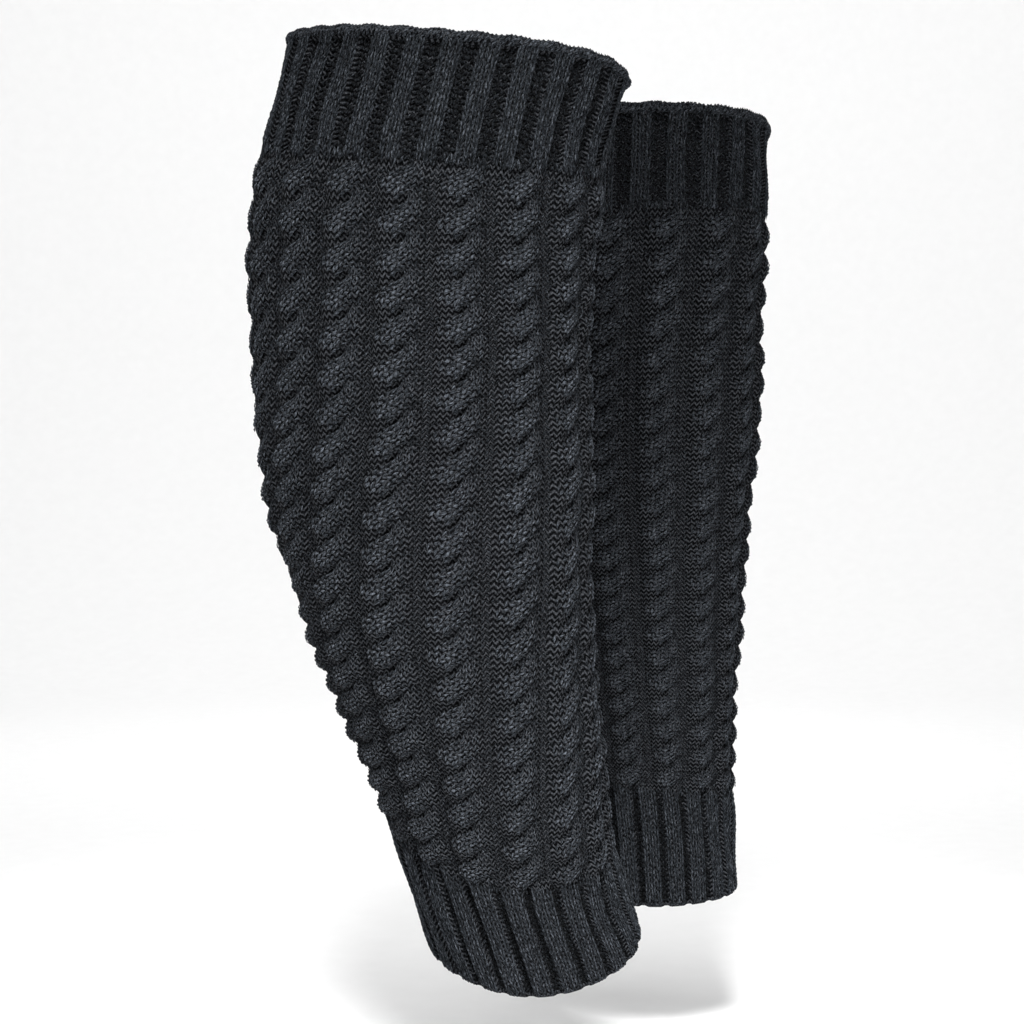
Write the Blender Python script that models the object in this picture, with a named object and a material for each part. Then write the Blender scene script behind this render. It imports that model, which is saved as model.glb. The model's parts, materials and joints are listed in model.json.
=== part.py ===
"""Pair of cable-knit leg warmers, filled out as when worn, with no wearer.

Frame: metres, +Z up. The wearer would face -Y, with the left leg on the +X side.
The origin is the middle of the right leg warmer's top opening.

Each leg warmer is one knitted tube in three lengths: a ribbed top cuff, a cable-knit
body and a ribbed bottom cuff. Each length is a wall, open at both ends, made of rings.
A ring is an ellipse whose plane leans a little, because the edges of a worn tube dip.
"""
import math

import bmesh
import bpy

# Driving dimensions
LENGTH = 0.382
TOP_CUFF_LENGTH = 0.050
BOTTOM_CUFF_LENGTH = 0.048
LEG_SPACING = 0.173
WALL = 0.003
SEAM_GAP = 0.0003
LIP_LENGTH = 0.005
LIP_FLARE = 0.0015
POINTS_ROUND = 36
CUFF_RINGS = 6
BODY_RINGS = 16

# Right leg warmer: where the tube's sections lie and how big they are outside.
# The left one is its mirror image.
#   below:  depth of the section's centre under the top opening
#   inward: shift of the centre towards the other leg
#   back:   shift of the centre towards the calf
#   width:  size across the leg, along X
#   depth:  size from shin to calf, along Y
SECTION_COLUMNS = ("below", "inward", "back", "width", "depth")
SECTIONS = (
    (0.000, 0.0000, 0.0000, 0.129, 0.151),
    (0.045, -0.0110, 0.0065, 0.129, 0.153),
    (0.090, -0.0165, 0.0095, 0.127, 0.153),
    (0.135, -0.0160, 0.0100, 0.125, 0.151),
    (0.180, -0.0120, 0.0090, 0.121, 0.145),
    (0.225, -0.0055, 0.0055, 0.114, 0.134),
    (0.270, 0.0025, 0.0000, 0.103, 0.121),
    (0.315, 0.0110, -0.0075, 0.093, 0.109),
    (0.350, 0.0195, -0.0150, 0.087, 0.101),
    (0.382, 0.0280, -0.0220, 0.083, 0.096),
)

# How the section planes lean on each leg, as rise over run.
#   below:   depth under the top opening
#   to_left: rise towards +X
#   to_back: rise towards +Y
LEAN_COLUMNS = ("below", "to_left", "to_back")
LEANS = {
    "right": (
        (0.000, 0.050, 0.150),
        (0.050, 0.110, 0.140),
        (0.190, 0.130, -0.090),
        (0.334, 0.310, 0.260),
        (0.382, 0.430, 0.110),
    ),
    "left": (
        (0.000, 0.045, 0.015),
        (0.050, 0.035, -0.040),
        (0.190, 0.045, -0.030),
        (0.334, -0.110, 0.020),
        (0.382, 0.050, 0.010),
    ),
}

# Each leg: which side of the body it is on, along X.
LEGS = {"right": -1, "left": 1}


def smooth(table, columns, name, below):
    """Value of one column at a depth, on a smooth curve through the table's rows."""
    column = columns.index(name)
    depths = [row[0] for row in table]
    values = [row[column] for row in table]
    last = len(table) - 1
    slopes = []
    for i in range(last + 1):
        before = max(i - 1, 0)
        after = min(i + 1, last)
        slopes.append((values[after] - values[before]) / (depths[after] - depths[before]))
    i = 0
    while i < last - 1 and below > depths[i + 1]:
        i += 1
    step = depths[i + 1] - depths[i]
    t = (below - depths[i]) / step
    start = (2 * t ** 3 - 3 * t ** 2 + 1) * values[i]
    end = (3 * t ** 2 - 2 * t ** 3) * values[i + 1]
    leave = (t ** 3 - 2 * t ** 2 + t) * step * slopes[i]
    arrive = (t ** 3 - t ** 2) * step * slopes[i + 1]
    return start + end + leave + arrive


def flare(below):
    """How far the bound-off top edge rolls out at a depth."""
    if below >= 2 * LIP_LENGTH:
        return 0.0
    return LIP_FLARE * (1 + math.cos(math.pi * below / (2 * LIP_LENGTH))) / 2


def ring(leg, below, inset):
    """Points of the tube's section at a depth, inset from its outer surface."""
    side = LEGS[leg]
    inward = smooth(SECTIONS, SECTION_COLUMNS, "inward", below)
    back = smooth(SECTIONS, SECTION_COLUMNS, "back", below)
    half_width = smooth(SECTIONS, SECTION_COLUMNS, "width", below) / 2 + flare(below) - inset
    half_depth = smooth(SECTIONS, SECTION_COLUMNS, "depth", below) / 2 + flare(below) - inset
    to_left = smooth(LEANS[leg], LEAN_COLUMNS, "to_left", below)
    to_back = smooth(LEANS[leg], LEAN_COLUMNS, "to_back", below)
    middle_x = (side + 1) / 2 * LEG_SPACING - side * inward
    points = []
    for i in range(POINTS_ROUND):
        angle = 2 * math.pi * i / POINTS_ROUND
        x = half_width * math.cos(angle)
        y = half_depth * math.sin(angle)
        points.append((middle_x + x, back + y, to_left * x + to_back * y - below))
    return points


def tube(name, leg, start, end, rings, material):
    """One length of the tube, as a wall between two depths, open at both ends."""
    depths = [start + (end - start) * i / (rings - 1) for i in range(rings)]
    loops = [ring(leg, below, 0.0) for below in depths]
    loops += [ring(leg, below, WALL) for below in reversed(depths)]
    shape = bmesh.new()
    rows = [[shape.verts.new(point) for point in loop] for loop in loops]
    for i, row in enumerate(rows):
        following = rows[(i + 1) % len(rows)]
        for j in range(POINTS_ROUND):
            k = (j + 1) % POINTS_ROUND
            shape.faces.new((row[j], following[j], following[k], row[k]))
    bmesh.ops.recalc_face_normals(shape, faces=shape.faces[:])
    mesh = bpy.data.meshes.new(name)
    shape.to_mesh(mesh)
    shape.free()
    mesh.shade_smooth()
    mesh.set_sharp_from_angle(angle=math.radians(50))
    mesh.materials.append(material)
    piece = bpy.data.objects.new(name, mesh)
    bpy.context.collection.objects.link(piece)
    return piece


def knit_material(name, colour):
    """Matte yarn of one colour."""
    material = bpy.data.materials.new(name)
    material.use_nodes = True
    shader = material.node_tree.nodes["Principled BSDF"]
    shader.inputs["Base Color"].default_value = (*colour, 1.0)
    shader.inputs["Roughness"].default_value = 0.95
    shader.inputs["Metallic"].default_value = 0.0
    return material


def leg_warmer(leg, rib_knit, cable_knit):
    """The three lengths of one leg warmer, a seam's gap apart."""
    body_start = TOP_CUFF_LENGTH
    body_end = LENGTH - BOTTOM_CUFF_LENGTH
    half_gap = SEAM_GAP / 2
    tube(leg + "_top_cuff", leg, 0.0, body_start - half_gap, CUFF_RINGS, rib_knit)
    tube(leg + "_body", leg, body_start + half_gap, body_end - half_gap, BODY_RINGS, cable_knit)
    tube(leg + "_bottom_cuff", leg, body_end + half_gap, LENGTH, CUFF_RINGS, rib_knit)


def main():
    for old in list(bpy.data.objects):
        bpy.data.objects.remove(old, do_unlink=True)
    rib_knit = knit_material("rib_knit", (0.018, 0.019, 0.022))
    cable_knit = knit_material("cable_knit", (0.022, 0.024, 0.028))
    for leg in LEGS:
        leg_warmer(leg, rib_knit, cable_knit)


main()
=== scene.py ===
"""Looks of a pair of black cable-knit leg warmers, filled out as when worn, with no wearer.

Every stitch that shows is real geometry: short plump lengths of yarn, laid out on the
tubes' form stitch by stitch and row by row, over a thin shell of the same form.
"""
import json
import math

import bpy
import numpy as np
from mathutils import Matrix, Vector


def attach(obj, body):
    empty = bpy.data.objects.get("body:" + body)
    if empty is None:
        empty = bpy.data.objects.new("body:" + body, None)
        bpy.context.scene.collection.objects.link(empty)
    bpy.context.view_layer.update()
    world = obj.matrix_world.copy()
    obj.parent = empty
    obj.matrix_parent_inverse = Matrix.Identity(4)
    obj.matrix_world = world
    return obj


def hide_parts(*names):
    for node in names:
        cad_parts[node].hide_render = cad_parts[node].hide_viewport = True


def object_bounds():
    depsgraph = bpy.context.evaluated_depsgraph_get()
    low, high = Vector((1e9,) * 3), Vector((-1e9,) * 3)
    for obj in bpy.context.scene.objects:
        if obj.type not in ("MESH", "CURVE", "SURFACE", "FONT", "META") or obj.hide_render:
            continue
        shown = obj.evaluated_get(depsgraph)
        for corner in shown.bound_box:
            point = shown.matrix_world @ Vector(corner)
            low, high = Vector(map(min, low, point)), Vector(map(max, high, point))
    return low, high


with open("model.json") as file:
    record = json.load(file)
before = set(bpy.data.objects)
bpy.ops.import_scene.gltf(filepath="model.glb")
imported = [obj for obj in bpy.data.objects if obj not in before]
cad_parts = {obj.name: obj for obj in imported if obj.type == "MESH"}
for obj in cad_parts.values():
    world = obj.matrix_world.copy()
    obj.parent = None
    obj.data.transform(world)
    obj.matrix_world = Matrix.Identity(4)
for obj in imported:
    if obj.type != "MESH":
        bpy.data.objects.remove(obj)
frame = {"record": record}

CAD_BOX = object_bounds()
MOUNTS = {mount["name"]: mount["pos_m"] for mount in frame["record"]["mounts"]}

# Driving dimensions, in metres, as in the CAD
LENGTH = 0.382
TOP_CUFF_LENGTH = 0.050
BOTTOM_CUFF_LENGTH = 0.048
BODY_LENGTH = LENGTH - TOP_CUFF_LENGTH - BOTTOM_CUFF_LENGTH
LIP_LENGTH = 0.005

# The rim, which flares less than the CAD's and droops at one place round it
LIP_FLARE = 0.0008
RIM_DROOP = 0.0060
RIM_DROOP_AT = 304.0
RIM_DROOP_WIDTH = 24.0
RIM_DROOP_REACH = 0.04

# The form of the tubes: the CAD's sections of the right one, and how each one's planes lean
SECTION_COLUMNS = ("below", "inward", "back", "width", "depth")
SECTIONS = (
    (0.000, 0.0000, 0.0000, 0.129, 0.151),
    (0.045, -0.0110, 0.0065, 0.129, 0.153),
    (0.090, -0.0165, 0.0095, 0.127, 0.153),
    (0.135, -0.0160, 0.0100, 0.125, 0.151),
    (0.180, -0.0120, 0.0090, 0.121, 0.145),
    (0.225, -0.0055, 0.0055, 0.114, 0.134),
    (0.270, 0.0025, 0.0000, 0.103, 0.121),
    (0.315, 0.0110, -0.0075, 0.093, 0.109),
    (0.350, 0.0195, -0.0150, 0.087, 0.101),
    (0.382, 0.0280, -0.0220, 0.083, 0.096),
)
LEAN_COLUMNS = ("below", "to_left", "to_back")
LEANS = {
    "right": (
        (0.000, 0.050, 0.150),
        (0.050, 0.110, 0.140),
        (0.190, 0.130, -0.090),
        (0.334, 0.310, 0.260),
        (0.382, 0.430, 0.110),
    ),
    "left": (
        (0.000, 0.045, 0.015),
        (0.050, 0.035, -0.040),
        (0.190, 0.045, -0.030),
        (0.334, -0.110, 0.020),
        (0.382, 0.050, 0.010),
    ),
}

# How the columns of stitches run down each tube, in degrees round it: they turn as one,
# and they spread towards one side of it
TURN_COLUMNS = ("below", "turn", "spread")
TURNS = {
    "right": (
        (0.000, 0.0, 8.0),
        (0.050, 0.0, 8.0),
        (0.145, 0.5, 1.5),
        (0.240, -14.7, -11.5),
        (0.334, -26.3, -5.6),
        (0.382, -26.3, -5.6),
    ),
    "left": (
        (0.000, 0.0, 0.0),
        (0.050, 0.0, 0.0),
        (0.145, -3.3, 0.0),
        (0.240, 0.4, 0.0),
        (0.334, 2.9, 0.0),
        (0.382, 2.9, 0.0),
    ),
}
SPREAD_AT = 118.0

# Soft unevenness of the form: swells, each with its depth, width and height, and waves, each
# with how fast it runs down and round the form, its shift and its height
SWELLS = (
    (0.066, 0.012, 0.0009),
    (TOP_CUFF_LENGTH, 0.006, -0.0003),
    (0.320, 0.010, 0.0006),
    (0.336, 0.005, -0.0004),
)
WAVES = (
    (61, 2, 1, 0.0006),
    (143, -5, 2, 0.0005),
)

# Each tube: its side of the body along X, where its first cable and its first ribs are
# round it (degrees from +X, anticlockwise from above), and its seed
LEG_COLUMNS = ("side", "cable_at", "top_rib_at", "bottom_rib_at", "seed")
LEGS = {
    "right": (-1, 221.3, 206.1, 221.3, 11),
    "left": (1, 221.9, 209.5, 221.9, 23),
}

# The knitting
STITCHES = 160
STITCH = 360 / STITCHES
CABLES = 16
CABLE_SPACING = STITCHES // CABLES
CROSSINGS = 21
CROSSING_ROWS = 6
BODY_ROWS = CROSSINGS * CROSSING_ROWS
ROW_TAPER = 1.48
PURL_STITCHES = 5
PURL_STITCH = 3.35
RIBS = 25
RIB = 360 / RIBS
RIB_STEEPNESS = 4.0

# Each cuff: its depth, its rows, how much of it is ribs, how dark its grooves are painted as
# shade, and how softly it passes into the body
CUFF_COLUMNS = ("start", "length", "rows", "raised_share", "groove_shade", "passage")
CUFFS = {
    "top": (0.0, TOP_CUFF_LENGTH, 19, 0.58, -0.45, 0.012),
    "bottom": (LENGTH - BOTTOM_CUFF_LENGTH, BOTTOM_CUFF_LENGTH, 22, 0.72, -0.70, 0.006),
}
WALE_SHIFT = 0.33
RIB_UNEVENNESS = 0.18
RIB_WANDER = 0.25
TOP_STITCH_CLEAR = 0.0035
EDGE_STITCH_CLEAR = 0.0030

# The two strands of a cable: how far they swing to each side and how far apart their columns
# lie, in stitches; how they linger at each side; and how fat they are below and on top
REACH = 2.25
EASE = 0.31
STRAND_GAP = 1.26
THIN_END = 0.66
FAT_MIDDLE = 1.16
STRAND_STITCHES = 8

# A knit stitch's two legs, as shares of its column's width: they meet at its foot and part
# at its head. Reaches are how far down and up they go, in rows
FOOT_SPREAD = 0.08
HEAD_SPREAD = 0.33
LEG_WIDTH = 0.46
LEG_THICKNESS = 0.16
LEG_STAGGER = 0.22
CABLE_REACHES = (0.64, -0.54)
RIB_REACHES = (0.95, -0.85)

# A purl bump's two bars: how far they spread, as a share of its width, and their reaches
PURL_SPREAD = 0.52
PURL_REACHES = (-0.46, 0.44)

# How uneven the yarn is: its width and thickness as shares, and its height in metres
YARN_WIDTHS = (0.88, 1.12)
YARN_THICKNESSES = (0.8, 1.2)
YARN_JITTER = 0.00007

# Heights over the form's outer face, in metres
VALLEY = -0.0034
CREST_MIDDLE = -0.0014
CREST_RISE = 0.0021
RIB_CREST = -0.0008
RIB_VALLEY = -0.0034
EDGE_HEIGHT = -0.0020
INNER_FACE = -0.0044

# Differences in height, in metres: how far the shell is under the stitches, how far up the
# ribs' stitches are, how deep a hidden stitch is, how high purl may start and end over the
# valleys, the span over which the yarn is painted from dark to pale (painted shade low in the
# valleys), and the ribs felt on the inner face
UNDER_STITCHES = 0.0003
RIB_STITCH_LIFT = 0.0001
HIDDEN = 0.0004
PURL_RISE = 0.0006
PURL_LIMIT = 0.0008
PAINTED_SHADE_SPAN = 0.0036
INNER_RIBS = 0.0005

# The rolled rim: a bead, lumpy where the last stitches are bound off, and the lower edge
BEAD_RADIUS = 0.0022
BEAD_HEIGHT = -0.0022
BEAD_BELOW = 0.0022
LUMPS = 100
LUMP_SHARE = 0.10
RIB_LUMP_SHARE = 0.07
EDGE_UP = 0.0003
EDGE_DIP = 0.0003

# Painted shade: how much darker some stitches are drawn than the cables', taken off the paleness
# painted on their crests
RIB_PAINTED_SHADE = -0.25
LIP_PAINTED_SHADE = -0.20

# The shell: its points round, its rings on each cuff and inside, and the angles of its
# rings over the rim
AROUND = 2 * STITCHES
CUFF_RINGS = 9
INNER_RINGS = 64
OUTER_RIM_TURNS = (-35, -5, 25, 55, 85, 115)
INNER_RIM_TURNS = (145, 185)
CUFF_GROUND_ROWS = 24


def column(table, columns, name):
    return np.array([row[columns.index(name)] for row in table])


def smooth(table, columns, name, below):
    """Values of one column at some depths, on a smooth curve through the table's rows."""
    depths = column(table, columns, "below")
    values = column(table, columns, name)
    slopes = np.empty(len(depths))
    slopes[1:-1] = (values[2:] - values[:-2]) / (depths[2:] - depths[:-2])
    slopes[0] = (values[1] - values[0]) / (depths[1] - depths[0])
    slopes[-1] = (values[-1] - values[-2]) / (depths[-1] - depths[-2])
    i = np.clip(np.searchsorted(depths, below) - 1, 0, len(depths) - 2)
    step = depths[i + 1] - depths[i]
    t = (below - depths[i]) / step
    start = (2 * t ** 3 - 3 * t ** 2 + 1) * values[i]
    end = (3 * t ** 2 - 2 * t ** 3) * values[i + 1]
    leave = (t ** 3 - 2 * t ** 2 + t) * step * slopes[i]
    arrive = (t ** 3 - t ** 2) * step * slopes[i + 1]
    return start + end + leave + arrive


def leg_value(leg, name):
    return LEGS[leg][LEG_COLUMNS.index(name)]


def cuff_value(end, name):
    return CUFFS[end][CUFF_COLUMNS.index(name)]


def soft_bump(distance, width):
    """1 in the middle, soft to nothing some widths away."""
    return np.exp(-((distance / width) ** 2))


def unevenness(leg, around, below):
    """How far the form stands out of its plain sections, around being in radians."""
    out = LIP_FLARE * np.clip(1 - below / (2 * LIP_LENGTH), 0, 1) ** 2
    for at, width, height in SWELLS:
        out = out + height * soft_bump(below - at, width)
    for down, turns, shift, height in WAVES:
        wave = below * down + around * turns + shift * leg_value(leg, "side")
        out = out + height * np.sin(wave)
    return out


def rim_droop(place, below):
    """How far the rim hangs down at one side."""
    off = (place - RIM_DROOP_AT + 180) % 360 - 180
    near_rim = np.clip(1 - below / RIM_DROOP_REACH, 0, 1) ** 1.5
    return RIM_DROOP * soft_bump(off, RIM_DROOP_WIDTH) * near_rim


def form(leg, place, below):
    """Points of the form's outer face: place in degrees round the knitting, below in metres."""
    side = leg_value(leg, "side")
    half_width = smooth(SECTIONS, SECTION_COLUMNS, "width", below) / 2
    half_depth = smooth(SECTIONS, SECTION_COLUMNS, "depth", below) / 2
    around = np.radians(place)
    out = unevenness(leg, around, below)
    turn = smooth(TURNS[leg], TURN_COLUMNS, "turn", below)
    spread = smooth(TURNS[leg], TURN_COLUMNS, "spread", below)
    angle = around + np.radians(turn + spread * np.cos(around - math.radians(SPREAD_AT)))
    oval = (half_depth ** 2 - half_width ** 2) / (half_depth ** 2 + half_width ** 2) / 4
    angle = angle - oval * np.sin(2 * angle)
    x = (half_width + out) * np.cos(angle)
    y = (half_depth + out) * np.sin(angle)
    to_left = smooth(LEANS[leg], LEAN_COLUMNS, "to_left", below)
    to_back = smooth(LEANS[leg], LEAN_COLUMNS, "to_back", below)
    inward = smooth(SECTIONS, SECTION_COLUMNS, "inward", below)
    back = smooth(SECTIONS, SECTION_COLUMNS, "back", below)
    origin = MOUNTS[leg + "_leg"]
    return np.stack(
        (
            origin[0] - side * inward + x,
            origin[1] + back + y,
            origin[2] - below - rim_droop(place, below) + to_left * x + to_back * y,
        ),
        axis=-1,
    )


def outward(leg, place, below):
    """Unit normals of the form, pointing out."""
    turn = 0.1
    step = 0.0003
    across = form(leg, place + turn, below) - form(leg, place - turn, below)
    down = form(leg, place, below + step) - form(leg, place, below - step)
    normal = np.cross(down, across)
    return normal / np.linalg.norm(normal, axis=-1, keepdims=True)


def degree_length(below):
    """Metres round the form for one degree, on average."""
    width = smooth(SECTIONS, SECTION_COLUMNS, "width", below)
    depth = smooth(SECTIONS, SECTION_COLUMNS, "depth", below)
    return math.pi * (width + depth) / 2 / 360


def body_depth(row):
    """Depth of a row of the body: the fabric is stretched more where it is wide."""
    q = 1 / ROW_TAPER
    return TOP_CUFF_LENGTH + BODY_LENGTH * (1 - q ** (row / BODY_ROWS)) / (1 - q)


def on_body(below):
    """The nearest depth between the cuffs."""
    return np.clip(below, TOP_CUFF_LENGTH, LENGTH - BOTTOM_CUFF_LENGTH)


def body_row(below):
    """The row of the body at a depth."""
    q = 1 / ROW_TAPER
    share = 1 - (below - TOP_CUFF_LENGTH) * (1 - q) / BODY_LENGTH
    return BODY_ROWS * np.log(share) / math.log(q)


def row_height(row):
    return body_depth(row + 0.5) - body_depth(row - 0.5)


# --- the knitted relief ---


def strand(phase):
    """One strand of a cable at a phase of its turn (0 to pi is the half on top): its offset
    in stitches, its drift in stitches a row, its lift from -1 to 1 and its fatness."""
    eased = phase - EASE * np.sin(2 * phase)
    offset = REACH * np.cos(eased)
    drift = -REACH * np.sin(eased) * (1 - 2 * EASE * np.cos(2 * phase))
    drift = drift * math.pi / CROSSING_ROWS
    lift = np.sin(phase - 0.6 * np.sin(phase))
    fatness = THIN_END + (FAT_MIDDLE - THIN_END) * np.clip(lift, 0, 1) ** 0.7
    return offset, drift, lift, fatness


def strand_frame(phase, row):
    """Along a strand as (round, down) unit steps, the length of a row on it, and its gap
    between columns of stitches, in metres."""
    below = body_depth(row)
    stitch = degree_length(below) * STITCH
    _, drift, _, fatness = strand(phase)
    height = row_height(row)
    length = np.hypot(drift * stitch, height)
    along = (drift * stitch / length, height / length)
    return along, length, STRAND_GAP * stitch * fatness


def strand_height(distance, lift, gap):
    """Height over the form at a distance across a strand from its middle."""
    crest = CREST_MIDDLE + CREST_RISE * lift
    dome = np.clip(1 - (distance / (1.64 * gap)) ** 2, 0, 1) ** 0.6
    return VALLEY + (crest - VALLEY) * dome


def cable_relief(leg, place, row):
    """Height over the form of the body's knitting, from the nearest bits of both strands."""
    stitch_at = (place - leg_value(leg, "cable_at")) / STITCH
    x = (stitch_at + CABLE_SPACING / 2) % CABLE_SPACING - CABLE_SPACING / 2
    stitch = degree_length(body_depth(row)) * STITCH
    height = np.full(np.broadcast(place, row).shape, VALLEY)
    for half in (0, 1):
        for rows_off in np.arange(-3, 3.1, 0.5):
            near = row + rows_off
            phase = math.pi * near / CROSSING_ROWS + math.pi * half
            offset, _, lift, fatness = strand(phase)
            distance = np.hypot((x - offset) * stitch, rows_off * row_height(row))
            raised = strand_height(distance, lift, STRAND_GAP * stitch * fatness)
            height = np.maximum(height, raised)
    return height


def rib_wave(leg, end, place):
    """1 in the middle of a rib, -1 in the middle of a groove."""
    phase = np.radians((place - leg_value(leg, end + "_rib_at")) * RIBS)
    groove_starts = math.cos(math.pi * cuff_value(end, "raised_share"))
    return np.clip((np.cos(phase) - groove_starts) * RIB_STEEPNESS, -1, 1)


def cuff_share(end, below, passage):
    """1 on a cuff and 0 on the body, passing softly from one to the other."""
    into = TOP_CUFF_LENGTH - below if end == "top" else below - LENGTH + BOTTOM_CUFF_LENGTH
    return np.clip(into / passage + 0.5, 0, 1)


def relief(leg, place, below):
    """Height over the form of the knitting that the stitches follow."""
    height = cable_relief(leg, place, body_row(on_body(below)))
    middle = (RIB_CREST + RIB_VALLEY) / 2
    swing = (RIB_CREST - RIB_VALLEY) / 2
    for end in CUFFS:
        share = cuff_share(end, below, cuff_value(end, "passage"))
        ribbed = middle + swing * rib_wave(leg, end, place)
        height = height + (ribbed - height) * share
    return height


# --- meshes ---


def build_mesh(name, points, faces, material):
    """A smooth-shaded object from arrays of points and of faces with equal corner counts."""
    mesh = bpy.data.meshes.new(name)
    corners = faces.shape[1]
    mesh.vertices.add(len(points))
    mesh.vertices.foreach_set("co", points.astype(np.float32).ravel())
    mesh.loops.add(faces.size)
    mesh.loops.foreach_set("vertex_index", faces.astype(np.int32).ravel())
    mesh.polygons.add(len(faces))
    mesh.polygons.foreach_set("loop_start", np.arange(0, faces.size, corners, dtype=np.int32))
    mesh.polygons.foreach_set("use_smooth", np.ones(len(faces), dtype=bool))
    mesh.update(calc_edges=True)
    mesh.materials.append(material)
    piece = bpy.data.objects.new(name, mesh)
    bpy.context.collection.objects.link(piece)
    return piece


# A length of yarn: two tips, then its near side, crest and far side at its middle
YARN_FACES = np.array(((0, 3, 2), (0, 4, 3), (0, 2, 4), (1, 2, 3), (1, 3, 4), (1, 4, 2)))
# Painted highlight and shade on each length of yarn, by corner: paler on its crest, darker at its
# sides and a little darker at its tips
YARN_PAINTED_SHADE = np.array((0.13, 0.13, 0.0, 0.24, 0.0))


class Yarn:
    """Collects short lengths of yarn on one tube, and makes them one mesh."""

    def __init__(self, leg, rng, painted_shade=0.0):
        self.leg = leg
        self.rng = rng
        # Painted shade added to the paleness of all its lengths
        self.painted_shade = painted_shade
        self.points = []
        self.fibres = []
        self.painted_shades = []

    def add(self, start, end, width, thickness):
        """Lengths from start to end, each (place, below, height); the rest in metres."""
        count = np.size(start[0])
        start, end = ([np.ravel(a) for a in tip] for tip in (start, end))
        width = np.ravel(width) * self.rng.uniform(*YARN_WIDTHS, count)
        thickness = np.ravel(thickness) * self.rng.uniform(*YARN_THICKNESSES, count)
        jitter = self.rng.normal(0, YARN_JITTER, count)
        normal = outward(self.leg, (start[0] + end[0]) / 2, (start[1] + end[1]) / 2)
        tips = []
        for place, below, height in (start, end):
            tips.append(form(self.leg, place, below) + normal * (height + jitter)[:, None])
        centre = (tips[0] + tips[1]) / 2
        along = tips[1] - tips[0]
        length = np.linalg.norm(along, axis=-1)
        side = np.cross(along, normal)
        side *= (width / 2 / np.linalg.norm(side, axis=-1))[:, None]
        crest = centre + normal * thickness[:, None]
        self.points.append(np.stack((*tips, centre - side, crest, centre + side), axis=1))
        # Painted shade and highlight: each length is drawn paler the higher it lies over the
        # valleys, and darker where it lies low in them
        painted_depth_shade = np.clip(((start[2] + end[2]) / 2 - VALLEY) / PAINTED_SHADE_SPAN, 0, 1)
        self.painted_shades.append(YARN_PAINTED_SHADE + painted_depth_shade[:, None] + self.painted_shade)
        shift = self.rng.uniform(0, 1, count)
        zero = np.zeros(count)
        lengthwise = np.stack((-length / 2, length / 2, zero, zero, zero), axis=1)
        across = np.stack((zero, zero, -width / 2, zero, width / 2), axis=1)
        self.fibres.append(
            np.stack((lengthwise, across, np.repeat(shift[:, None], 5, axis=1)), axis=-1)
        )

    def piece(self, name, material):
        points = np.concatenate(self.points)
        count = len(points)
        faces = YARN_FACES[None] + np.arange(count)[:, None, None] * 5
        made = build_mesh(name, points.reshape(-1, 3), faces.reshape(-1, 3), material)
        fibre = made.data.attributes.new("fibre", "FLOAT_VECTOR", "POINT")
        fibre.data.foreach_set("vector", np.concatenate(self.fibres).astype(np.float32).ravel())
        # crest: painted shade and highlight for each point
        crest = made.data.attributes.new("crest", "FLOAT", "POINT")
        crest.data.foreach_set("value", np.concatenate(self.painted_shades).astype(np.float32).ravel())
        return made


def knit_stitches(yarn, place, below, height_at, width, row, along, reaches):
    """V-shaped stitches. along is their direction as (round, down) unit steps, height_at
    gives the height at a distance across and along from each one's middle, in metres, and
    reaches are how far their legs go down and up, in rows."""
    across = (along[1], -along[0])
    degree = degree_length(below)
    for side in (-1, 1):
        tips = []
        foot = (FOOT_SPREAD, reaches[0], 0.0002)
        head = (HEAD_SPREAD, reaches[1], 0.0001)
        for spread, reach, sink in (foot, head):
            a = spread * side * width
            b = (reach + LEG_STAGGER * side) * row
            tips.append(
                (
                    place + (across[0] * a + along[0] * b) / degree,
                    below + across[1] * a + along[1] * b,
                    height_at(a, b) - sink,
                )
            )
        yarn.add(tips[0], tips[1], LEG_WIDTH * width, LEG_THICKNESS * width)


def purl_stitches(yarn, place, below, height_at, width, row, thickness, breadth):
    """Purl bumps: each row a zigzag of short bars, thickness and breadth as shares of it."""
    degree = degree_length(below)
    for side in (-1, 1):
        tips = []
        for spread, reach in zip((0.0, PURL_SPREAD), PURL_REACHES):
            a = spread * side * width
            tips.append((place + a / degree, below + reach * row, height_at(a, reach * row)))
        yarn.add(tips[0], tips[1], breadth * row, thickness * row)


def strand_phases():
    """Phases of the stitches along one whole turn of a strand, equally far apart on it, and
    its length for each of the steps that it is measured in."""
    phase = np.linspace(0, 2 * math.pi, 721)
    _, drift, _, _ = strand(phase)
    stitch = degree_length(LENGTH / 2) * STITCH
    travelled = np.cumsum(np.hypot(drift * stitch, row_height(BODY_ROWS / 2)))
    share = (np.arange(2 * STRAND_STITCHES) + 0.5) / (2 * STRAND_STITCHES)
    return np.interp(share * travelled[-1], travelled, phase), travelled[-1] / len(phase)


def grid(*ranges):
    """Every combination of some ranges' values, as one flat array for each range."""
    return [a.ravel().astype(float) for a in np.meshgrid(*ranges, indexing="ij")]


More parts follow.
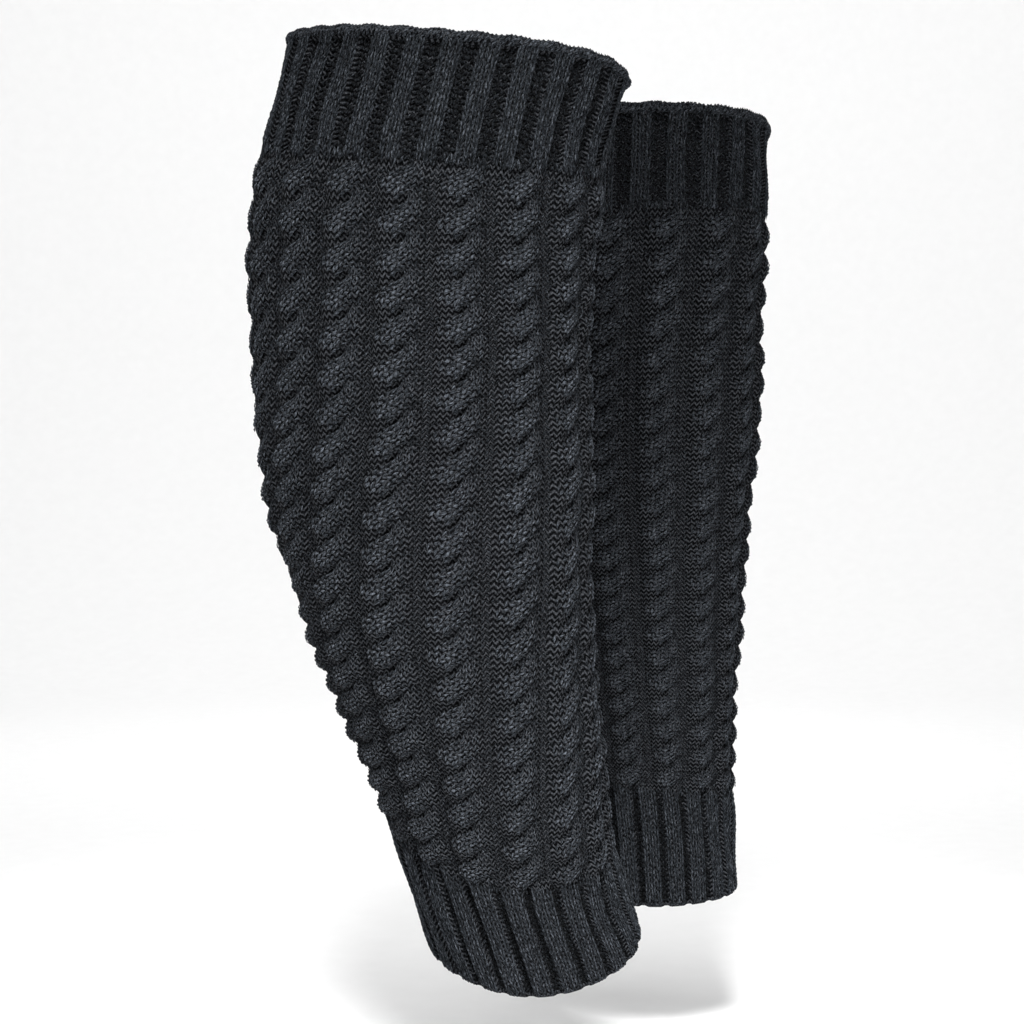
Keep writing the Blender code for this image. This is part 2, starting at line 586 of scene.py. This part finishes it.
def cable_piece(leg, material):
    """Rope cables: two strands of three columns of stitches that cross every few rows."""
    yarn = Yarn(leg, np.random.default_rng(leg_value(leg, "seed")))
    phases, mean_step = strand_phases()
    turns = np.arange(-1, CROSSINGS // 2 + 1)
    cable, turn, phase, half, wale = grid(np.arange(CABLES), turns, phases, (0, 1), (-1, 0, 1))
    row = (turn * 2 + half + phase / math.pi) * CROSSING_ROWS
    keep = (row > -0.8) & (row < BODY_ROWS + 0.8)
    cable, row, phase, wale = (a[keep] for a in (cable, row, phase, wale))
    offset, _, lift, _ = strand(phase)
    along, length, gap = strand_frame(phase, row)
    spacing = mean_step * row_height(row) / row_height(BODY_ROWS / 2)
    spacing = spacing * CROSSING_ROWS / STRAND_STITCHES
    degree = degree_length(body_depth(row))
    middle = leg_value(leg, "cable_at") + (cable * CABLE_SPACING + offset) * STITCH
    place = middle + wale * gap * along[1] / degree
    below = body_depth(row) - wale * gap * along[0]
    own = strand_height(wale * gap, lift, gap)
    seen = own > cable_relief(leg, place, body_row(on_body(below))) - HIDDEN
    place, below, wale, gap, spacing, lift = (
        a[seen] for a in (place, below, wale, gap, spacing, lift)
    )
    along = (along[0][seen], along[1][seen])

    def height_at(a, b):
        return strand_height(wale * gap + a, lift, gap)

    knit_stitches(yarn, place, below, height_at, gap * 1.06, spacing, along, CABLE_REACHES)
    return yarn.piece(leg + "_cables", material)


def purl_piece(leg, material):
    """The purl valleys between the cables."""
    yarn = Yarn(leg, np.random.default_rng(leg_value(leg, "seed") + 1))
    cable, row, stitch = grid(np.arange(CABLES), np.arange(BODY_ROWS), np.arange(PURL_STITCHES))
    place = leg_value(leg, "cable_at") + (cable + 0.5) * CABLE_SPACING * STITCH
    place = place + (stitch - (PURL_STITCHES - 1) / 2) * PURL_STITCH
    below = body_depth(row + 0.5)
    degree = degree_length(below)
    seen = cable_relief(leg, place, row + 0.5) < VALLEY + PURL_RISE
    place, below, degree, row = (a[seen] for a in (place, below, degree, row))

    def height_at(a, b):
        raised = cable_relief(leg, place + a / degree, row + 0.5)
        return np.minimum(raised, VALLEY + PURL_LIMIT)

    width = degree * PURL_STITCH
    purl_stitches(yarn, place, below, height_at, width, row_height(row + 0.5), 0.24, 0.48)
    return yarn.piece(leg + "_purl", material)


def cuff_piece(leg, end, material):
    """A ribbed cuff: three raised columns of knit, three sunken ones of purl, all round."""
    start, length, rows, raised_share, groove_shade, _ = CUFFS[end]
    yarn = Yarn(leg, np.random.default_rng(leg_value(leg, "seed") + 2 + len(end)))
    rib, row, wale = grid(np.arange(RIBS), np.arange(rows), (-1, 0, 1))
    shift = yarn.rng.uniform(-RIB_UNEVENNESS, RIB_UNEVENNESS, row.shape)
    below = start + (row + 0.5 + WALE_SHIFT * wale + shift) * length / rows
    below = np.clip(below, TOP_STITCH_CLEAR, LENGTH - EDGE_STITCH_CLEAR)
    below = np.maximum(below, start)
    step = np.full(below.shape, length / rows)
    degree = degree_length(below)
    raised = raised_share * RIB / 3
    sunken = (1 - raised_share) * RIB / 3
    wander = RIB_WANDER * np.sin(rib * 2.4 + below * 90)
    first = leg_value(leg, end + "_rib_at")
    straight = (np.zeros(below.shape), np.ones(below.shape))
    # Painted shade: the ribs' stitches are drawn darker than the cables', the grooves' purl darker
    # still
    for at, spacing, painted_shade in ((0, raised, RIB_PAINTED_SHADE), (0.5, sunken, groove_shade)):
        yarn.painted_shade = painted_shade
        place = first + (rib + at) * RIB + wale * spacing + wander

        def height_at(a, b):
            return relief(leg, place - wander + a / degree, below) + RIB_STITCH_LIFT

        if at == 0:
            width = degree * spacing * 1.04
            knit_stitches(yarn, place, below, height_at, width, step, straight, RIB_REACHES)
        else:
            width = degree * spacing * 1.06
            purl_stitches(yarn, place, below, height_at, width, step, 0.12, 0.70)
    return yarn.piece(leg + "_" + end + "_ribs", material)


def bead_point(place, turn):
    """Depth and height of the rolled rim at an angle over it: 0 is its outer side."""
    lump = np.cos(np.radians(place * LUMPS))
    wave = np.cos(np.radians(place * RIBS + 40))
    radius = BEAD_RADIUS * (1 + LUMP_SHARE * lump + RIB_LUMP_SHARE * wave)
    below = BEAD_BELOW - radius * np.sin(turn) - 0.0003 * wave
    return below, BEAD_HEIGHT + radius * np.cos(turn)


def edge_point(leg, place):
    """Depth of the lower edge, which dips at each rib."""
    return LENGTH - EDGE_UP + EDGE_DIP * rib_wave(leg, "bottom", place)


def lip_piece(leg, material):
    """The bound-off rim, rolled and lumpy, and the cast-on lower edge."""
    yarn = Yarn(leg, np.random.default_rng(leg_value(leg, "seed") + 9), LIP_PAINTED_SHADE)
    count = 2 * LUMPS
    spacing = 360 / count
    links = np.arange(count) * spacing
    metres = degree_length(0.0) * spacing
    slant = math.radians(26)
    for ring, turn in enumerate(np.radians(range(-38, 203, 40))):
        place = links + yarn.rng.uniform(-0.15, 0.15, count) * spacing + ring * spacing * 0.4
        low_below, low_height = bead_point(place - 0.5 * spacing, turn - slant)
        high_below, high_height = bead_point(place + 0.5 * spacing, turn + slant)
        yarn.add(
            (place - 0.62 * spacing, low_below, low_height),
            (place + 0.62 * spacing, high_below, high_height),
            np.full(count, metres * 0.80),
            np.full(count, metres * 0.30),
        )
    ribbed = ground(leg, links, np.full(count, LENGTH - 0.0020)) - 0.0002
    below = edge_point(leg, links) - 0.0009
    for sink in (0.0, 0.0010):
        yarn.add(
            (links - 0.6 * spacing, below + 0.0004, ribbed - sink),
            (links + 0.6 * spacing, below - 0.0004, ribbed - sink),
            np.full(count, 0.0014),
            np.full(count, 0.0005),
        )
    return yarn.piece(leg + "_lip", material)


def ground(leg, place, below):
    """Height over the form of the shell's outer face, just under the stitches."""
    return relief(leg, place, below) - UNDER_STITCHES


def outer_rings(leg, place):
    """Depth, height and row of each ring of the shell's outer face, from its lower edge up
    and over the rim. Rows count on over the cuffs and the rim."""
    edge = edge_point(leg, place)
    body_end = LENGTH - BOTTOM_CUFF_LENGTH
    cuff_start = 0.0046
    shares = np.linspace(1, 0, CUFF_RINGS + 1)[:-1]
    rings = [(edge, np.full(place.shape, EDGE_HEIGHT), BODY_ROWS + float(CUFF_GROUND_ROWS))]
    for share in shares:
        below = body_end + (edge - 0.0010 - body_end) * share
        rings.append((below, ground(leg, place, below), BODY_ROWS + CUFF_GROUND_ROWS * share))
    for row in np.arange(BODY_ROWS, -0.01, -1.0):
        below = np.full(place.shape, body_depth(row))
        rings.append((below, ground(leg, place, below), row))
    for share in shares[::-1]:
        below = cuff_start + (TOP_CUFF_LENGTH - cuff_start) * (1 - share)
        below = np.full(place.shape, below)
        rings.append((below, ground(leg, place, below), -CUFF_GROUND_ROWS * share))
    return rings + rim_rings(place, OUTER_RIM_TURNS)


def rim_rings(place, turns):
    """Rings over the rolled rim, at some angles over it in degrees."""
    rings = []
    for turn in turns:
        below, height = bead_point(place, math.radians(turn))
        rings.append((below, height, -CUFF_GROUND_ROWS - turn / 90))
    return rings


def inner_rings(leg, place):
    """Depth, height and row of each ring of the shell's inner face, from the rim down."""
    rings = rim_rings(place, INNER_RIM_TURNS)
    for share in np.linspace(0.10, 1.0, INNER_RINGS):
        below = np.full(place.shape, (LENGTH - 0.0012) * share)
        ribbed = np.zeros(place.shape)
        for end in CUFFS:
            ribbed = ribbed + rib_wave(leg, end, place) * cuff_share(end, below, 0.006)
        height = INNER_FACE + INNER_RIBS * ribbed
        rings.append((below, height, float(body_row(on_body(share * LENGTH)))))
    return rings


def shell_piece(leg, material):
    """The closed shell of one tube, open at both ends, that the stitches lie on. Its inner
    face has half as many points round it."""
    outer_place = np.arange(AROUND) * 360 / AROUND
    inner_place = outer_place[::2]
    outer = outer_rings(leg, outer_place)
    inner = inner_rings(leg, inner_place)
    points = []
    rows = []
    for place, rings in ((outer_place, outer), (inner_place, inner)):
        for below, height, row in rings:
            spot = form(leg, place, below) + outward(leg, place, below) * height[:, None]
            points.append(spot)
            rows.append(np.full(len(place), row))
    starts = np.concatenate(([0], np.cumsum([len(p) for p in points])))
    faces = []
    stitches = []
    per_degree = STITCHES / 360

    def quads(low, high, count):
        j = np.arange(count)
        k = (j + 1) % count
        faces.append(np.stack((low + j, low + k, high + k, high + j), axis=-1))
        scale = 360 / count * per_degree
        stitches.append(np.stack((j, j + 1, j + 1, j), axis=-1) * scale)

    for i in range(len(outer) - 1):
        quads(starts[i], starts[i + 1], AROUND)
    for i in range(len(outer), len(outer) + len(inner) - 1):
        quads(starts[i], starts[i + 1], AROUND // 2)
    triangles = []
    half = np.arange(AROUND // 2)
    for fine, coarse, flip in (
        (starts[len(outer) - 1], starts[len(outer)], False),
        (starts[0], starts[len(outer) + len(inner) - 1], True),
    ):
        a = fine + 2 * half
        b = fine + 2 * half + 1
        c = fine + (2 * half + 2) % AROUND
        p = coarse + half
        q = coarse + (half + 1) % (AROUND // 2)
        for corners in ((a, b, p), (b, q, p), (b, c, q)):
            corners = corners[::-1] if flip else corners
            triangles.append(np.stack(corners, axis=-1))
    return closed_mesh(leg + "_shell", points, rows, faces, stitches, triangles, material)


def closed_mesh(name, points, rows, quads, stitches, triangles, material):
    """The shell's mesh, with each corner's stitch and row kept for its material."""
    quads = np.concatenate(quads)
    stitches = np.concatenate(stitches)
    split = np.concatenate((quads[:, [0, 1, 2]], quads[:, [0, 2, 3]]))
    split_stitches = np.concatenate((stitches[:, [0, 1, 2]], stitches[:, [0, 2, 3]]))
    triangles = np.concatenate(triangles)
    faces = np.concatenate((split, triangles))
    piece = build_mesh(name, np.concatenate(points), faces, material)
    row = np.concatenate(rows)[faces]
    stitch = np.concatenate((split_stitches, np.zeros(triangles.shape)))
    values = np.stack((stitch, row, np.zeros(row.shape)), axis=-1)
    knit = piece.data.attributes.new("knit", "FLOAT_VECTOR", "CORNER")
    knit.data.foreach_set("vector", values.astype(np.float32).ravel())
    return piece


# --- materials ---

# Colour stops as (position, colour), from dark to pale; the position follows the fibre noise and
# the painted shade and highlight carried in the crest attribute
YARN_COLOURS = (
    (0.43, (0.0008, 0.0010, 0.0013)),
    (0.58, (0.017, 0.0200, 0.0242)),
    (0.74, (0.101, 0.113, 0.132)),
)
# The ground's colours: the yarn's, darkened as painted shade for the gaps between stitches
BACK_SHADED_COLOURS = (
    (0.30, (0.0006, 0.0007, 0.0009)),
    (0.55, (0.009, 0.0098, 0.0115)),
    (0.80, (0.050, 0.053, 0.059)),
)
PAPER_COLOURS = (
    (0.0, (0.86, 0.86, 0.86)),
    (1.0, (0.90, 0.90, 0.90)),
)
FUZZ_SCALE = 1500.0
MATTE = 0.95
DULL = 0.04


def new_material(name):
    material = bpy.data.materials.new(name)
    material.use_nodes = True
    nodes = material.node_tree.nodes
    shader = nodes["Principled BSDF"]
    return material, nodes, material.node_tree.links, shader


def math_node(nodes, links, operation, *values):
    """A maths node; each value is a number or an output to link."""
    node = nodes.new("ShaderNodeMath")
    node.operation = operation
    for i, value in enumerate(values):
        if isinstance(value, (int, float)):
            node.inputs[i].default_value = value
        else:
            links.new(value, node.inputs[i])
    return node.outputs[0]


def noise_node(nodes, links, vector, scale, detail):
    node = nodes.new("ShaderNodeTexNoise")
    node.inputs["Scale"].default_value = scale
    node.inputs["Detail"].default_value = detail
    links.new(vector, node.inputs["Vector"])
    return node.outputs["Fac"]


def ramp_node(nodes, links, value, stops):
    """A colour ramp with stops as (position, colour)."""
    node = nodes.new("ShaderNodeValToRGB")
    elements = node.color_ramp.elements
    while len(elements) < len(stops):
        elements.new(0.5)
    for element, (position, colour) in zip(elements, stops):
        element.position = position
        element.color = (*colour, 1)
    links.new(value, node.inputs["Fac"])
    return node.outputs["Color"]


def bump_node(nodes, links, shader, height, strength, distance):
    node = nodes.new("ShaderNodeBump")
    node.inputs["Strength"].default_value = strength
    node.inputs["Distance"].default_value = distance
    links.new(height, node.inputs["Height"])
    links.new(node.outputs["Normal"], shader.inputs["Normal"])


def yarn_material():
    """Matte black yarn: fine fibres along each length, with painted highlight on each length's
    crest and painted shade at its sides, low in the grooves and on the cuffs and rim.
    """
    material, nodes, links, shader = new_material("black_yarn")
    place = nodes.new("ShaderNodeTexCoord").outputs["Object"]
    fibre = nodes.new("ShaderNodeAttribute")
    fibre.attribute_name = "fibre"
    stretch = nodes.new("ShaderNodeVectorMath")
    stretch.operation = "MULTIPLY"
    stretch.inputs[1].default_value = (320.0, 2200.0, 900.0)
    links.new(fibre.outputs["Vector"], stretch.inputs[0])
    strands = noise_node(nodes, links, stretch.outputs[0], 1.0, 2.0)
    fuzz = noise_node(nodes, links, place, FUZZ_SCALE, 3.0)
    # The crest attribute holds painted shade and highlight, which make the yarn paler or darker
    crest = nodes.new("ShaderNodeAttribute")
    crest.attribute_name = "crest"
    paler = math_node(nodes, links, "MULTIPLY", crest.outputs["Fac"], 0.20)
    paler = math_node(nodes, links, "MULTIPLY_ADD", strands, 1.2, paler)
    paler = math_node(nodes, links, "MULTIPLY_ADD", fuzz, 0.8, paler)
    paler = math_node(nodes, links, "MULTIPLY", paler, 0.5)
    colour = ramp_node(nodes, links, paler, YARN_COLOURS)
    links.new(colour, shader.inputs["Base Color"])
    height = math_node(nodes, links, "MULTIPLY_ADD", strands, 1.2, fuzz)
    bump_node(nodes, links, shader, height, 0.9, 0.0006)
    shader.inputs["Roughness"].default_value = MATTE
    shader.inputs["Specular IOR Level"].default_value = DULL
    shader.inputs["Sheen Weight"].default_value = 0.015
    shader.inputs["Sheen Roughness"].default_value = 0.6
    return material


def back_material():
    """The ground of the knitting, seen between stitches and inside the tubes: zigzag rows, drawn
    darker than the yarn as painted shade between the stitches.
    """
    material, nodes, links, shader = new_material("knit_back")
    place = nodes.new("ShaderNodeTexCoord").outputs["Object"]
    knit = nodes.new("ShaderNodeAttribute")
    knit.attribute_name = "knit"
    parts = nodes.new("ShaderNodeSeparateXYZ")
    links.new(knit.outputs["Vector"], parts.inputs[0])
    zigzag = math_node(nodes, links, "PINGPONG", parts.outputs["X"], 0.5)
    row = math_node(nodes, links, "MULTIPLY_ADD", zigzag, 1.3, parts.outputs["Y"])
    turn = math_node(nodes, links, "MULTIPLY", row, 2 * math.pi)
    wave = math_node(nodes, links, "SINE", turn)
    fuzz = noise_node(nodes, links, place, FUZZ_SCALE, 3.0)
    pale = math_node(nodes, links, "MULTIPLY_ADD", wave, 0.22, fuzz)
    colour = ramp_node(nodes, links, pale, BACK_SHADED_COLOURS)
    links.new(colour, shader.inputs["Base Color"])
    bump_node(nodes, links, shader, pale, 0.8, 0.0008)
    shader.inputs["Roughness"].default_value = MATTE
    shader.inputs["Specular IOR Level"].default_value = DULL
    return material


def leg_warmer(leg, yarn, back):
    """One leg warmer: its shell, and the stitches that lie on it."""
    stitches = [
        cable_piece(leg, yarn),
        purl_piece(leg, yarn),
        cuff_piece(leg, "top", yarn),
        cuff_piece(leg, "bottom", yarn),
        lip_piece(leg, yarn),
    ]
    shell = shell_piece(leg, back)
    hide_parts(leg + "_top_cuff", leg + "_body", leg + "_bottom_cuff")
    for piece in [shell] + stitches:
        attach(piece, "root")


# --- studio ---

FLOOR_DROP = 0.05
CAMERA_FROM_LEG = (-0.683, -0.386, -0.198)
CAMERA_TURN = -62.2
CAMERA_LENS = 64.05


def floor_and_backdrop():
    """A pale round floor that curves up into a wall, all round the object."""
    material, nodes, links, shader = new_material("studio_paper")
    place = nodes.new("ShaderNodeTexCoord").outputs["Object"]
    grain = noise_node(nodes, links, place, 60.0, 2.0)
    paper = ramp_node(nodes, links, grain, PAPER_COLOURS)
    links.new(paper, shader.inputs["Base Color"])
    shader.inputs["Roughness"].default_value = 0.9
    floor_level = CAD_BOX[0][2] - FLOOR_DROP
    radius = 1.6
    curve = 0.9
    wall = 3.2
    curve_steps = 16
    profile = [(radius, 0.0)]
    for i in range(1, curve_steps + 1):
        angle = math.pi / 2 * i / curve_steps
        profile.append((radius + curve * math.sin(angle), curve * (1 - math.cos(angle))))
    profile.append((radius + curve, wall))
    around = 96
    angle = 2 * math.pi * np.arange(around) / around
    out, up = np.array(profile).T
    up = up + floor_level
    middle = (CAD_BOX[0] + CAD_BOX[1]) / 2
    x = middle[0] + out[:, None] * np.cos(angle)
    y = middle[1] + out[:, None] * np.sin(angle)
    z = np.broadcast_to(up[:, None], x.shape)
    points = np.stack((x, y, z), axis=-1).reshape(-1, 3)
    points = np.concatenate((points, [(middle[0], middle[1], floor_level)]))
    faces = []
    for i in range(len(out) - 1):
        for j in range(around):
            k = (j + 1) % around
            faces.append((i * around + j, i * around + k, (i + 1) * around + k))
            faces.append((i * around + j, (i + 1) * around + k, (i + 1) * around + j))
    for j in range(around):
        faces.append((len(points) - 1, (j + 1) % around, j))
    stage = build_mesh("studio_floor", points, np.array(faces), material)


def hang_lamp(light, position, target):
    """An object for a light, aimed at a point."""
    lamp = bpy.data.objects.new(light.name, light)
    bpy.context.collection.objects.link(lamp)
    lamp.location = position
    lamp.rotation_euler = (Vector(target) - Vector(position)).to_track_quat("-Z", "Y").to_euler()
    return lamp


def spot_light(name, position, target, size, cone, power):
    """A round spot with a wholly soft edge; cone is its whole angle in degrees."""
    light = bpy.data.lights.new(name, "SPOT")
    light.shadow_soft_size = size / 2
    light.spot_size = math.radians(cone)
    light.spot_blend = 1.0
    light.energy = power
    hang_lamp(light, position, target)


def area_light(name, position, target, size, power):
    light = bpy.data.lights.new(name, "AREA")
    light.shape = "DISK"
    light.size = size
    light.energy = power
    hang_lamp(light, position, target).visible_camera = False


def camera():
    """Level with the middle of the pair, from the wearer's front right."""
    data = bpy.data.cameras.new("camera")
    data.sensor_width = 36.0
    data.lens = CAMERA_LENS
    made = bpy.data.objects.new("camera", data)
    bpy.context.collection.objects.link(made)
    made.location = Vector(MOUNTS["right_leg"]) + Vector(CAMERA_FROM_LEG)
    made.rotation_euler = (math.radians(90), 0, math.radians(CAMERA_TURN))
    bpy.context.scene.camera = made


def studio():
    floor_and_backdrop()
    middle = (CAD_BOX[0] + CAD_BOX[1]) / 2
    leg = Vector(MOUNTS["right_leg"])
    target = leg + Vector((0.0, 0.0, -0.24))
    low_front = leg + Vector((-0.12, -0.08, -0.60))
    spot_light("key", leg + Vector((-0.75, -0.37, 0.80)), low_front, 0.36, 49, 165)
    area_light("low", leg + Vector((-0.26, -0.47, -0.34)), target, 0.30, 1.25)
    area_light("left", leg + Vector((-0.85, 0.45, 0.15)), target, 0.60, 1.5)
    area_light("top", middle + Vector((0.2, 0.1, 2.2)), middle, 1.4, 24)
    area_light("wall", middle + Vector((0.6, 0.3, 1.3)), middle + Vector((2.4, 1.3, 0.3)), 1.0, 14)
    world = bpy.data.worlds.new("studio")
    world.use_nodes = True
    world.node_tree.nodes["Background"].inputs["Color"].default_value = (1, 1, 1, 1)
    world.node_tree.nodes["Background"].inputs["Strength"].default_value = 0.36
    scene = bpy.context.scene
    scene.world = world
    scene.view_settings.view_transform = "Standard"


def main():
    camera()
    yarn = yarn_material()
    back = back_material()
    for leg in LEGS:
        leg_warmer(leg, yarn, back)
    studio()


main()
